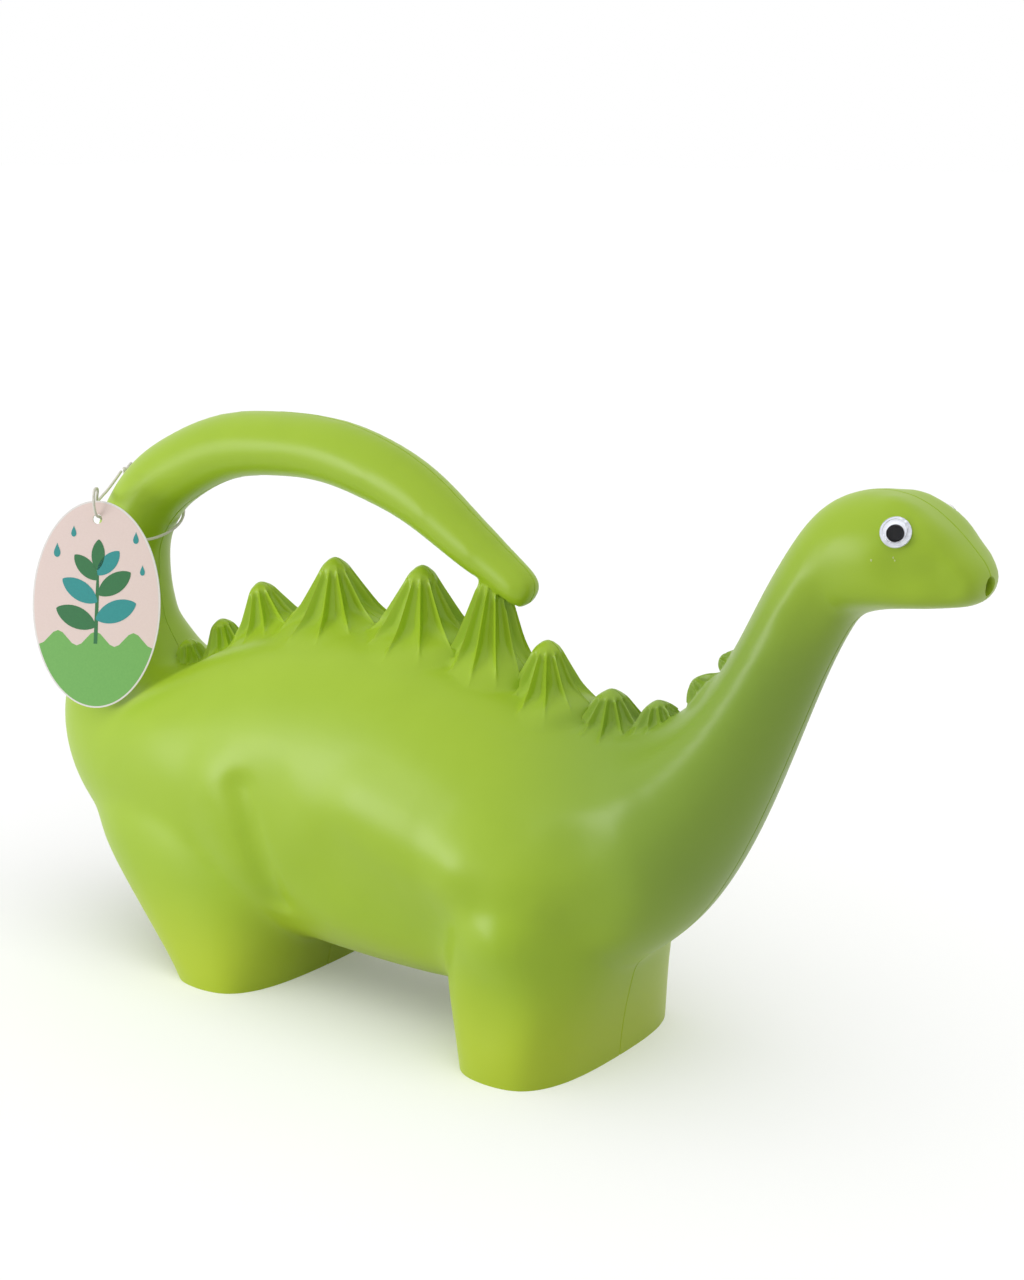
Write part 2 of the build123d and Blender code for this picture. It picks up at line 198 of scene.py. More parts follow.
SPIKE_CONE_POWER = 1.06
SPIKE_SINK = -0.7
SPIKE_TIP_GAP = 0.003
SPIKE_LEVELS = 30
SPIKE_TURN = 0.5
SPIKE_FOOT_GROWTH = 2
SPIKE_FOOT_ROUNDS = 8
BACK_RADIUS = 42.0

# Shaping of the skin, mirrored to the left side: each soft push by the line that it
# follows, its move and its reach
PUSHES = [
    # thigh: its front edge, the step down from it, and the slow rise to the belly
    ([(-88.0, -51.0, 90.0), (-84.0, -51.0, 76.0), (-81.0, -50.0, 60.0), (-78.0, -46.0, 42.0)],
     (0.0, -1.4, 0.0), 20.0),
    ([(-74.0, -51.0, 90.0), (-70.0, -51.0, 76.0), (-66.5, -50.0, 60.0), (-63.0, -45.0, 42.0)],
     (0.0, 2.0, 0.0), 9.0),
    ([(-64.0, -51.0, 88.0), (-60.0, -51.0, 70.0), (-56.0, -48.0, 48.0)], (0.0, 1.8, 0.0), 26.0),
    # waist between belly and shoulder, the swell above it, and the upper flank that turns in to the back
    ([(-28.0, -52.0, 62.0), (-10.0, -51.0, 54.0), (8.0, -51.0, 46.0)], (0.0, 3.0, 0.0), 28.0),
    ([(-14.0, -51.0, 92.0), (8.0, -51.0, 84.0), (28.0, -51.0, 76.0)], (0.0, -1.6, 0.0), 22.0),
    ([(-100.0, -44.0, 118.0), (-50.0, -44.0, 126.0), (0.0, -44.0, 124.0), (36.0, -42.0, 114.0),
      (58.0, -38.0, 108.0)], (0.0, 2.0, -0.5), 38.0),
    # shoulder and its front edge, the front leg below it, and the hollow between shoulder and neck
    ([(40.0, -50.0, 78.0), (46.0, -50.0, 68.0), (52.0, -49.0, 57.0)], (0.0, -4.2, 0.0), 29.0),
    ([(56.0, -46.0, 76.0), (60.0, -46.0, 64.0)], (0.0, -1.6, 0.0), 19.0),
    ([(48.0, -50.0, 36.0), (49.0, -50.0, 26.0)], (0.0, 1.6, 0.0), 20.0),
    ([(80.0, -42.0, 92.0), (84.0, -40.0, 80.0), (82.0, -42.0, 64.0)], (0.0, 3.0, 0.0), 20.0),
    # ridge along the side of the neck
    ([(92.0, -30.5, 117.0), (110.0, -23.5, 133.0), (129.0, -18.0, 158.0), (146.0, -15.5, 187.0)],
     (0.0, -1.5, 0.0), 16.0),
    # brow and the ridge ahead of it, the flat cheek below, jaw, muzzle and the throat behind the jaw
    ([(180.0, -10.0, 223.0), (188.0, -10.5, 219.0), (194.0, -9.0, 214.5)], (0.0, -0.3, 1.2), 8.0),
    ([(190.0, -13.5, 216.0), (195.0, -12.0, 211.5), (202.0, -9.0, 205.5)], (0.0, -1.5, 0.3), 7.0),
    ([(184.0, -18.0, 202.0), (191.0, -16.0, 201.0), (198.0, -13.0, 199.5)], (0.0, 2.2, 0.0), 9.0),
    ([(164.0, -16.0, 190.0), (176.0, -15.0, 190.0), (190.0, -12.0, 191.0)], (0.0, -1.4, -0.3), 10.0),
    ([(201.0, -11.0, 201.5), (205.0, -8.0, 198.5)], (0.3, -1.4, 0.0), 7.0),
    ([(156.0, -17.0, 187.0), (151.0, -17.0, 180.0)], (0.0, 1.4, 0.0), 11.0),
]
PUSH_STEP = 2.0

# The skin: its cell, rounds of smoothing over all of it, over its creases and after the pushes, and
# how a crease's weight grows with its hollow, spreads from cell to cell and is dropped
SKIN_VOXEL = 1.8
SMOOTHING = 0.5
SKIN_ROUNDS = 6
CREASE_ROUNDS = 60
PUSHED_ROUNDS = 10
CREASE_GAIN = 12
CREASE_SPREAD = 7
CREASE_FADE = 0.96
CREASE_LEAST = 0.02

# The shell: its wall, the cell of its hollow, the parting line, the block that parts the halves, with
# its middle's height as a share of its own, and the angle in degrees past which an edge is sharp
WALL = 2.4
HOLLOW_VOXEL = 4.0
SEAM_HALF_WIDTH = 0.4
SEAM_FLOOR_HALF_WIDTH = 0.15
SEAM_FLOOR_MARGIN = 0.02
SEAM_CUT_TOLERANCE = 0.01
SEAM_DEPTH = 0.25
HALF_BLOCK = (480.0, 200.0, 280.0)
HALF_BLOCK_CELL = 3.0
HALF_BLOCK_LIFT = 0.4
SHARP_ANGLE = 40.0

# The two round holes: radius, place and the drill's depth; then the rim of both, as steps out along
# the drill and how much wider it is there
FILL_HOLE_RADIUS = 17.0
FILL_HOLE_PLACE = (-210.0, 0.0, 103.0)
FILL_HOLE_DEPTH = 20.0
POUR_HOLE_RADIUS = 3.0
POUR_HOLE_PLACE = (208.6, 0.0, 197.1)
POUR_HOLE_DEPTH = 12.0
HOLE_RIM = [(-1.2, 0.0), (-0.4, 0.3), (0.6, 1.3), (14.0, 14.7)]
HOLE_POINTS = 64

# The tag's string, from the knot over the card's top edge, through its hole and back round the tail
CORD_ROUTE = [
    (-182.9, -3.0, 196.6), (-183.6, -9.0, 190.4), (-180.6, -17.0, 187.6), (-174.5, -25.0, 187.2),
    (-168.2, -30.4, 190.8), (-166.3, -31.3, 194.8), (-164.1, -35.4, 195.2), (-162.9, -37.2, 189.4),
    (-163.5, -35.4, 184.0), (-165.3, -31.9, 183.3), (-164.2, -25.5, 177.0), (-160.8, -17.5, 171.2),
    (-157.8, -7.0, 171.4), (-157.9, 5.2, 174.8), (-163.0, 14.0, 179.3), (-170.5, 17.6, 185.2),
    (-179.2, 12.6, 192.2), (-183.1, 2.5, 196.4),
]
CORD_DIAMETER = 1.2
# The knot's size, and its two cut ends as seen from its middle, which arch up half way
KNOT_SCALE = 0.46
KNOT_POINTS = 36
KNOT_ENDS = [(-1.4, 4.4, 2.4), (-1.8, 5.0, -0.8)]
KNOT_END_ARCH = 0.6

# The oval card tag, in its own plane: X level, Y up the card, with its middle at zero
CARD_HALF_WIDTH = 27.25
CARD_HALF_HEIGHT = 42.25
CARD_THICKNESS = 0.7
CARD_HOLE_RADIUS = 2.0
CARD_HOLE_RISE = 34.75
CARD_POINTS = 96
CARD_HOLE_POINTS = 32
CARD_DRILL_REACH = 2.0

# The print on the card: its margin, the step up from layer to layer of ink, how far each layer goes
# down into the card, and the rolling line of the ground
PRINT_MARGIN = 0.7
PRINT_LAYER = 0.04
PRINT_BITE = 0.1
GROUND_LEVEL = -14.0
GROUND_SWELL = 3.0
GROUND_WAVES = 3
GROUND_EDGE_POINTS = 48
GROUND_LINE_POINTS = 24
# The printed sprig's stem, and its leaves: foot, tip, half width and ink
SPRIG_STEM = [(-0.8, -16.0), (0.8, -16.0), (1.2, 6.0), (0.8, 16.0), (0.2, 16.0), (-0.2, 6.0)]
SPRIG_LEAVES = [
    ((0.0, -9.0), (-17.0, -2.0), 4.4, "leaf_green"),
    ((0.0, -6.0), (17.0, 1.0), 4.4, "teal"),
    ((0.5, 1.0), (-14.5, 10.0), 4.0, "teal"),
    ((0.8, 4.0), (14.5, 13.5), 4.0, "leaf_green"),
    ((0.5, 10.0), (-9.5, 20.0), 3.2, "leaf_green"),
    ((0.5, 12.0), (9.5, 22.0), 3.2, "teal"),
    ((0.3, 14.0), (0.8, 26.5), 2.8, "leaf_green"),
]
LEAF_POINTS = 32
LEAF_SHARPNESS = 0.5
# Printed drops: middle and half width; then, for them all, half height and lift in half widths, and
# how they narrow to a point that is a little blunt
PRINT_DROPS = [((-17.0, 21.0), 1.8), ((16.5, 27.0), 1.5), ((-10.0, 29.0), 1.4), ((19.5, 14.0), 1.3)]
DROP_POINTS = 24
DROP_HALF_HEIGHT = 1.6
DROP_LIFT = 0.4
DROP_TAPER = 1.5
DROP_BLUNTNESS = 1.02

# Specks of glue beside the right eye and their half size, and how they are drawn out and flattened
GLUE_SPECKS = [
    ((176.2, -18.5, 204.8), 0.3),
    ((183.3, -18.5, 205.9), 0.26),
    ((183.8, -18.3, 205.0), 0.24),
]
GLUE_SPECK_FORM = (1.0, 1.5, 0.45)


def deselect():
    if bpy.context.mode != "OBJECT":
        bpy.ops.object.mode_set(mode="OBJECT")
    bpy.ops.object.select_all(action="DESELECT")


def pick(piece):
    deselect()
    piece.select_set(True)
    bpy.context.view_layer.objects.active = piece


def named(name):
    piece = bpy.context.object
    piece.name = name
    piece.data.name = name
    return piece


def modify(piece, kind, **settings):
    """Adds a modifier with these settings and applies it."""
    pick(piece)
    modifier = piece.modifiers.new(kind.title(), kind)
    for setting, value in settings.items():
        setattr(modifier, setting, value)
    bpy.ops.object.modifier_apply(modifier=modifier.name)


def signed_power(value, power):
    return math.copysign(abs(value) ** power, value)


def ring(top, bottom, half_width, fullness):
    """Points round a cross-section between two points of the middle plane."""
    middle = (top + bottom) / 2
    reach = (top - bottom) / 2
    points = []
    for step in range(RING_POINTS):
        angle = 2 * math.pi * step / RING_POINTS
        along = signed_power(math.cos(angle), 2 / fullness)
        across = signed_power(math.sin(angle), 2 / fullness)
        points.append((middle + reach * along + Vector((0, half_width * across, 0))) * MM)
    return points


def extruded(name, rings):
    """A closed form: a disc is extruded from ring to ring and set to each ring's points."""
    deselect()
    bpy.ops.mesh.primitive_circle_add(vertices=len(rings[0]), radius=MM, fill_type="NGON")
    piece = named(name)
    places = [vertex.co.copy() for vertex in piece.data.vertices]
    bpy.ops.object.mode_set(mode="EDIT")
    bpy.ops.mesh.select_all(action="SELECT")
    for number, points in enumerate(rings):
        if number:
            bpy.ops.mesh.extrude_region()
        mesh = bmesh.from_edit_mesh(piece.data)
        for vertex in [vertex for vertex in mesh.verts if vertex.select]:
            step = min(range(len(places)), key=lambda index: (places[index] - vertex.co).length)
            vertex.co = points[step]
        bmesh.update_edit_mesh(piece.data)
        places = [Vector(point) for point in points]
    bpy.ops.mesh.select_all(action="SELECT")
    bpy.ops.mesh.normals_make_consistent(inside=False)
    bpy.ops.object.mode_set(mode="OBJECT")
    return piece


def rounded(name, rings):
    """A closed form through these rings, rounded by subdivision."""
    piece = extruded(name, rings)
    modify(piece, "SUBSURF", levels=RING_SUBDIVISIONS, render_levels=RING_SUBDIVISIONS)
    return piece


def trunk():
    rings = []
    for back_x, back_z, belly_x, belly_z, half_width, fullness in TRUNK_RINGS:
        back, belly = Vector((back_x, 0, back_z)), Vector((belly_x, 0, belly_z))
        rings.append(ring(back, belly, half_width, fullness))
    return rounded("trunk", rings)


def leg_block(name, table):
    rings = []
    for front, rear, height, half_width, fullness in table:
        rings.append(ring(Vector((front, 0, height)), Vector((rear, 0, height)), half_width, fullness))
    return rounded(name, rings)


def tail():
    """A tapered round tube along a curve, closed at both ends."""
    curve = bpy.data.curves.new("tail", "CURVE")
    curve.dimensions = "3D"
    curve.bevel_depth = MM / 2
    curve.bevel_resolution = 10
    curve.resolution_u = 12
    curve.use_fill_caps = True
    spline = curve.splines.new("BEZIER")
    spline.radius_interpolation = "CARDINAL"
    spline.bezier_points.add(len(TAIL_POINTS) - 1)
    for point, (x, z, thickness) in zip(spline.bezier_points, TAIL_POINTS):
        point.co = Vector((x, 0, z)) * MM
        point.radius = thickness
        point.handle_left_type = "AUTO"
        point.handle_right_type = "AUTO"
    piece = bpy.data.objects.new("tail", curve)
    bpy.context.scene.collection.objects.link(piece)
    pick(piece)
    bpy.ops.object.convert(target="MESH")
    return bpy.context.object


def joined(name, pieces):
    pick(pieces[0])
    for piece in pieces[1:]:
        piece.select_set(True)
    bpy.ops.object.join()
    return named(name)


def crease_group(piece):
    """Weights for the hollow corners, as where legs and tail meet the trunk, fading out around them."""
    mesh = bmesh.new()
    mesh.from_mesh(piece.data)
    weights = []
    for vertex in mesh.verts:
        neighbours = [edge.other_vert(vertex).co for edge in vertex.link_edges]
        middle = sum(neighbours, Vector()) / len(neighbours)
        hollow = (middle - vertex.co).dot(vertex.normal) / (SKIN_VOXEL * MM)
        weights.append(min(1.0, max(0.0, hollow * CREASE_GAIN)))
    for _ in range(CREASE_SPREAD):
        strongest = [max(weights[edge.other_vert(vertex).index] for edge in vertex.link_edges)
                     for vertex in mesh.verts]
        weights = [max(weight, CREASE_FADE * beside) for weight, beside in zip(weights, strongest)]
    mesh.free()
    group = piece.vertex_groups.new(name="creases")
    for index, weight in enumerate(weights):
        if weight > CREASE_LEAST:
            group.add([index], weight, "REPLACE")


def stepped(line):
    """Points along a line of straight runs, a short step apart."""
    points = [Vector(line[0])]
    for start, end in zip(line, line[1:]):
        start, end = Vector(start), Vector(end)
        count = math.ceil((end - start).length / PUSH_STEP)
        points += [start.lerp(end, step / count) for step in range(1, count + 1)]
    return points


def shaped(piece):
    """Pushes the skin softly along each line of the table, on both sides of the can."""
    pick(piece)
    nearby = KDTree(len(piece.data.vertices))
    for vertex in piece.data.vertices:
        nearby.insert(vertex.co, vertex.index)
    nearby.balance()
    bpy.ops.object.mode_set(mode="EDIT")
    bpy.ops.mesh.select_mode(type="VERT")
    bpy.ops.mesh.select_all(action="DESELECT")
    for line, move, reach in PUSHES:
        for side in (1, -1):
            mesh = bmesh.from_edit_mesh(piece.data)
            mesh.verts.ensure_lookup_table()
            for place in stepped(line):
                index = nearby.find(Vector((place.x, side * place.y, place.z)) * MM)[1]
                mesh.verts[index].select = True
            shift = Vector((move[0], side * move[1], move[2])) * MM
            bpy.ops.transform.translate(value=shift, use_proportional_edit=True,
                                        proportional_size=reach * MM, proportional_edit_falloff="SMOOTH")
            bpy.ops.mesh.select_all(action="DESELECT")
    bpy.ops.object.mode_set(mode="OBJECT")


def flat_soles(piece):
    """Cuts the legs off flat at the floor."""
    pick(piece)
    bpy.ops.object.mode_set(mode="EDIT")
    bpy.ops.mesh.select_all(action="SELECT")
    bpy.ops.mesh.bisect(plane_co=(0, 0, 0), plane_no=(0, 0, 1), use_fill=True, clear_inner=True)
    bpy.ops.object.mode_set(mode="OBJECT")


def skin():
    """The can's outer form without its spikes: one even, soft skin over trunk, tail and legs."""
    piece = joined("skin", [trunk(), tail(), leg_block("front_legs", FRONT_LEG_RINGS),
                            leg_block("hind_legs", HIND_LEG_RINGS)])
    modify(piece, "REMESH", mode="VOXEL", voxel_size=SKIN_VOXEL * MM)
    modify(piece, "SMOOTH", factor=SMOOTHING, iterations=SKIN_ROUNDS)
    crease_group(piece)
    modify(piece, "SMOOTH", factor=SMOOTHING, iterations=CREASE_ROUNDS, vertex_group="creases")
    shaped(piece)
    modify(piece, "SMOOTH", factor=SMOOTHING, iterations=PUSHED_ROUNDS)
    flat_soles(piece)
    return piece


def eased(value, start, end):
    """Zero before the start, one after the end, and a soft step between them."""
    share = min(1.0, max(0.0, (value - start) / (end - start)))
    return share * share * (3 - 2 * share)


def spike_rings(foot, tip, half_long, half_wide, turn):
    """Rings of a ribbed cone with a domed tip and a flared foot, from below the skin to the top."""
    axis = (tip - foot).normalized()
    ahead = Vector((axis.z, 0, -axis.x))
    rise = (tip - foot).length
    dome = min(SPIKE_DOME, SPIKE_DOME_MOST_SHARE * half_long)
    rings = []
    for level in range(SPIKE_LEVELS + 1):
        height = SPIKE_SINK + (1 - SPIKE_SINK) * math.sin(math.pi / 2 * level / SPIKE_LEVELS)
        down = max(SPIKE_TIP_GAP, 1 - height)
        cap = math.sqrt(1 - max(0.0, 1 - down * rise / dome) ** 2)
        cone = max(0.0, down - SPIKE_CONE_TOP) ** SPIKE_CONE_POWER
        long_radius, wide_radius = (dome * cap + (half - dome) * cone for half in (half_long, half_wide))
        pitch = math.pi * (long_radius + wide_radius) / SPIKE_RIBS
        width = min(SPIKE_RIB_MOST_SHARE, SPIKE_RIB_HALF_WIDTH / pitch)
        near_rib = [share * width for share in SPIKE_RIB_PLACES]
        points = []
        for number in range(SPIKE_RIBS):
            for step in [-SPIKE_PANEL_MIDDLE, -SPIKE_PANEL_EDGE, *near_rib, SPIKE_PANEL_EDGE]:
                angle = 2 * math.pi * (number + step + turn) / SPIKE_RIBS
                above = height + (half_wide * math.sin(angle)) ** 2 / (2 * BACK_RADIUS * rise)
                depth = SPIKE_PANEL_DEPTH * eased(above, *SPIKE_PANEL_FOOT) * eased(down, *SPIKE_PANEL_TOP)
                rib = math.exp(-(step / width) ** 2)
                panel = 1 - depth * (1 - rib) * (SPIKE_PANEL_BESIDE_RIB + SPIKE_PANEL_DEEPENING * abs(step))
                flare = 1 + SPIKE_FLARE * (1 - eased(above, *SPIKE_FLARE_FADE))
                around = ahead * long_radius * math.cos(angle)
                around += Vector((0, wide_radius * math.sin(angle), 0))
                points.append((foot + axis * height * rise + around * (panel * flare)) * MM)
        rings.append(points)
    return rings


def add_spikes(piece, coat):
    """Joins the spikes to the skin and softens the line round each foot.

    Two slots with the same coat tell a spike's faces from the skin's until that is done."""
    for _ in range(2):
        piece.data.materials.append(coat)
    for number, (foot_x, foot_z, tip_x, tip_z, half_long, half_wide) in enumerate(SPIKES):
        foot, tip = Vector((foot_x, 0, foot_z)), Vector((tip_x, 0, tip_z))
        rings = spike_rings(foot, tip, half_long, half_wide, SPIKE_TURN * number)
        spike = extruded(f"spike_{number}", rings)
        for _ in range(2):
            spike.data.materials.append(coat)
        for face in spike.data.polygons:
            face.material_index = 1
        combine(piece, spike, "UNION")
    pick(piece)
    bpy.ops.object.mode_set(mode="EDIT")
    bpy.ops.mesh.select_all(action="DESELECT")
    mesh = bmesh.from_edit_mesh(piece.data)
    for vertex in mesh.verts:
        vertex.select = len({face.material_index for face in vertex.link_faces}) == 2
    bmesh.update_edit_mesh(piece.data)
    for _ in range(SPIKE_FOOT_GROWTH):
        bpy.ops.mesh.select_more()
    bpy.ops.mesh.vertices_smooth(factor=SMOOTHING, repeat=SPIKE_FOOT_ROUNDS)
    bpy.ops.object.mode_set(mode="OBJECT")


def round_cutter(name, place, radius, depth):
    """A round drill along X with a flared end, which leaves a rounded rim."""
    rings = []
    toward = 1 if place[0] > 0 else -1
    for along, wider in [(-depth, 0.0), *HOLE_RIM]:
        reach = radius + wider
        points = []
        for step in range(HOLE_POINTS):
            angle = 2 * math.pi * step / HOLE_POINTS
            points.append(Vector((place[0] + toward * along, reach * math.cos(angle) * toward,
                                  place[2] + reach * math.sin(angle))) * MM)
        rings.append(points)
    return extruded(name, rings)


def combine(piece, other, operation):
    """Adds or cuts another form, which is used up."""
    modify(piece, "BOOLEAN", object=other, operation=operation, solver="MANIFOLD")
    bpy.data.objects.remove(other)


def seam_groove(piece):
    """The fine parting line where the two halves meet."""
    pick(piece)
    bpy.ops.object.mode_set(mode="EDIT")
    for offset in (-SEAM_HALF_WIDTH, -SEAM_FLOOR_HALF_WIDTH, SEAM_FLOOR_HALF_WIDTH, SEAM_HALF_WIDTH):
        bpy.ops.mesh.select_all(action="SELECT")
        bpy.ops.mesh.bisect(plane_co=(0, offset * MM, 0), plane_no=(0, 1, 0),
                            threshold=SEAM_CUT_TOLERANCE * MM)
    mesh = bmesh.from_edit_mesh(piece.data)
    reach = (SEAM_FLOOR_HALF_WIDTH + SEAM_FLOOR_MARGIN) * MM
    sunk = [vertex for vertex in mesh.verts if abs(vertex.co.y) < reach]
    moves = [Vector((vertex.normal.x, 0, vertex.normal.z)).normalized() for vertex in sunk]
    for vertex, outward in zip(sunk, moves):
        vertex.co -= outward * SEAM_DEPTH * MM
    bmesh.update_edit_mesh(piece.data)
    bpy.ops.object.mode_set(mode="OBJECT")


def shell(coat):
    """The whole hollow can before it is parted into its halves."""
    piece = skin()
    pick(piece)
    bpy.ops.object.duplicate()
    hollow = named("hollow")
    modify(hollow, "REMESH", mode="VOXEL", voxel_size=HOLLOW_VOXEL * MM)
    modify(hollow, "DISPLACE", strength=-WALL * MM, mid_level=0)
    add_spikes(piece, coat)
    seam_groove(piece)
    combine(piece, hollow, "DIFFERENCE")
    fill_drill = round_cutter("fill_drill", FILL_HOLE_PLACE, FILL_HOLE_RADIUS, FILL_HOLE_DEPTH)
    combine(piece, fill_drill, "DIFFERENCE")
    pour_drill = round_cutter("pour_drill", POUR_HOLE_PLACE, POUR_HOLE_RADIUS, POUR_HOLE_DEPTH)
    combine(piece, pour_drill, "DIFFERENCE")
    return piece


def half_block(side):
    """A block on one side of the middle plane, in small cells there so that the cut face is too."""
    length, depth, height = HALF_BLOCK
    deselect()
    bpy.ops.mesh.primitive_grid_add(x_subdivisions=round(length / HALF_BLOCK_CELL), size=1,
                                    y_subdivisions=round(height / HALF_BLOCK_CELL))
    block = named("half_block")
    for vertex in block.data.vertices:
        vertex.co = Vector((vertex.co.x * length, 0, vertex.co.y * height + HALF_BLOCK_LIFT * height)) * MM
    bpy.ops.object.mode_set(mode="EDIT")
    bpy.ops.mesh.select_all(action="SELECT")
    bpy.ops.mesh.extrude_region_move(TRANSFORM_OT_translate={"value": (0, side * depth * MM, 0)})
    bpy.ops.mesh.select_all(action="SELECT")
    bpy.ops.mesh.normals_make_consistent(inside=False)
    bpy.ops.object.mode_set(mode="OBJECT")
    return block


def half(whole, name, side):
    """One half of the shell, cut on the middle plane and closed there between its two walls."""
    pick(whole)
    bpy.ops.object.duplicate()
    piece = named(name)
    combine(piece, half_block(side), "INTERSECT")
    pick(piece)
    for face in piece.data.polygons:
        face.material_index = 0
    bpy.ops.object.shade_smooth_by_angle(angle=math.radians(SHARP_ANGLE))
    return piece


def linear(colour):
    """A colour written as an sRGB hex value, as linear red, green, blue and alpha."""
    channels = [int(colour[start:start + 2], 16) / 255 for start in (1, 3, 5)]
    return tuple(value / 12.92 if value <= 0.04045 else ((value + 0.055) / 1.055) ** 2.4
                 for value in channels) + (1.0,)


def add_node(tree, kind, links=(), inputs=(), **settings):
    """Adds a node with its settings, input values and links from other nodes' outputs."""
    node = tree.nodes.new(kind)
    for setting, value in settings.items():
        setattr(node, setting, value)
    for socket, value in dict(inputs).items():
        node.inputs[socket].default_value = value
    for socket, source in dict(links).items():
        tree.links.new(source, node.inputs[socket])
    return node


def new_material(name):
    material = bpy.data.materials.new(name)
    material.use_nodes = True
    return material, material.node_tree, material.node_tree.nodes["Principled BSDF"]


def mottled(name, pale, dark, grain, roughness, relief):
    """A surface of two close colours in soft patches a grain wide, with a shallow relief to match.

    Roughness goes from its first to its second value with the patches, and relief is in mm."""
    material, tree, shader = new_material(name)
    place = add_node(tree, "ShaderNodeTexCoord").outputs["Object"]
    patches = add_node(tree, "ShaderNodeTexNoise", {"Vector": place},
                       {"Scale": 1 / (grain * MM), "Detail": 3.0})
    tint = add_node(tree, "ShaderNodeMix", {"Factor": patches.outputs["Fac"]}, data_type="RGBA")
    tint.inputs["A"].default_value = linear(pale)
    tint.inputs["B"].default_value = linear(dark)
    tree.links.new(tint.outputs["Result"], shader.inputs["Base Color"])
    gloss = add_node(tree, "ShaderNodeMapRange", {"Value": patches.outputs["Fac"]},
                     {"To Min": roughness[0], "To Max": roughness[1]})
    tree.links.new(gloss.outputs["Result"], shader.inputs["Roughness"])
    bump = add_node(tree, "ShaderNodeBump", {"Height": patches.outputs["Fac"]},
                    {"Strength": 0.5, "Distance": relief * MM})
    tree.links.new(bump.outputs["Normal"], shader.inputs["Normal"])
    return material, tree, shader


def drawn_towards(tree, shader, colour, value, start, end):
    """Draws the base colour towards another one as a node's value goes from start to end, in mm."""
    base = shader.inputs["Base Color"].links[0].from_socket
    share = add_node(tree, "ShaderNodeMapRange", {"Value": value},
                     {"From Min": start * MM, "From Max": end * MM}, interpolation_type="SMOOTHSTEP")
    tint = add_node(tree, "ShaderNodeMix", {"Factor": share.outputs["Result"]}, data_type="RGBA")
    tree.links.new(base, tint.inputs["A"])
    tint.inputs["B"].default_value = linear(colour)
    tree.links.new(tint.outputs["Result"], shader.inputs["Base Color"])


# Blow-moulded polythene: a satin skin with soft unevenness a few centimetres wide and fine flow ripples
# drawn out along the can; its base colour turns a darker, greyer green from chest to neck, which is
# painted shade, and a yellower, lighter one down in the feet, which is painted bounce light from the floor
POLYTHENE_PATCH = 26.0
POLYTHENE_RELIEF = 0.25
POLYTHENE_RIPPLE = 1.6
POLYTHENE_RIPPLE_STRETCH = 0.3
POLYTHENE_RIPPLE_DEPTH = 0.05
# Painted shade on chest and neck: its green, its middle, and the distances in mm from there where it starts
# and is full
PAINTED_SHADE_GREEN = "#88a834"
PAINTED_SHADE_MIDDLE = (120.0, 0.0, 124.0)
PAINTED_SHADE_START = 100.0
PAINTED_SHADE_FULL = 38.0
# Painted bounce light from the floor at the feet: its green, and the heights in mm where it starts and is
# full
PAINTED_BOUNCE_GREEN = "#b9cf30"
PAINTED_BOUNCE_START = 52.0
PAINTED_BOUNCE_FULL = 6.0


def moulded_polythene():
    material, tree, shader = mottled("lime_moulded_polythene", "#9fc024", "#a8c831", grain=POLYTHENE_PATCH,
                                     roughness=(0.34, 0.42), relief=POLYTHENE_RELIEF)
    place = add_node(tree, "ShaderNodeTexCoord").outputs["Object"]
    drawn = add_node(tree, "ShaderNodeMapping", {"Vector": place},
                     {"Scale": (POLYTHENE_RIPPLE_STRETCH, 1, 1)})
    ripple = add_node(tree, "ShaderNodeTexNoise", {"Vector": drawn.outputs["Vector"]},
                      {"Scale": 1 / (POLYTHENE_RIPPLE * MM), "Detail": 2.0})
    soft = shader.inputs["Normal"].links[0].from_socket
    fine = add_node(tree, "ShaderNodeBump", {"Height": ripple.outputs["Fac"], "Normal": soft},
                    {"Strength": 0.25, "Distance": POLYTHENE_RIPPLE_DEPTH * MM})
    tree.links.new(fine.outputs["Normal"], shader.inputs["Normal"])
    # painted shade: the base colour is drawn to a darker, greyer green round the chest and neck
    away = add_node(tree, "ShaderNodeVectorMath", {0: place}, {1: Vector(PAINTED_SHADE_MIDDLE) * MM},
                    operation="DISTANCE")
    drawn_towards(tree, shader, PAINTED_SHADE_GREEN, away.outputs["Value"], PAINTED_SHADE_START, PAINTED_SHADE_FULL)
    # painted bounce light from the floor: the base colour is drawn to a yellower, lighter green down at the
    # feet
    height = add_node(tree, "ShaderNodeSeparateXYZ", {"Vector": place}).outputs["Z"]
    drawn_towards(tree, shader, PAINTED_BOUNCE_GREEN, height, PAINTED_BOUNCE_START, PAINTED_BOUNCE_FULL)
    shader.inputs["IOR"].default_value = 1.51
    shader.inputs["Specular IOR Level"].default_value = 0.42
    shader.inputs["Subsurface Weight"].default_value = 0.12
    shader.inputs["Subsurface Radius"].default_value = (1.0, 0.9, 0.25)
    shader.inputs["Subsurface Scale"].default_value = 2.0 * MM
    return material


# Injection-moulded polystyrene: glossy and even, with barely any waviness; the white is toned a little
# grey-blue, partly its own tint and partly painted shade of the recess under the clear cover
def white_styrene():
    return mottled("white_moulded_styrene", "#e4e7ee", "#dadde6", grain=3.0, roughness=(0.22, 0.3),
                   relief=0.02)[0]


# The same, black and with less shine, as it lies behind a clear cover
def black_styrene():
    material, _, shader = mottled("black_moulded_styrene", "#09090b", "#0f0f12", grain=2.0,
                                  roughness=(0.3, 0.4), relief=0.02)
    shader.inputs["Specular IOR Level"].default_value = 0.1
    return material


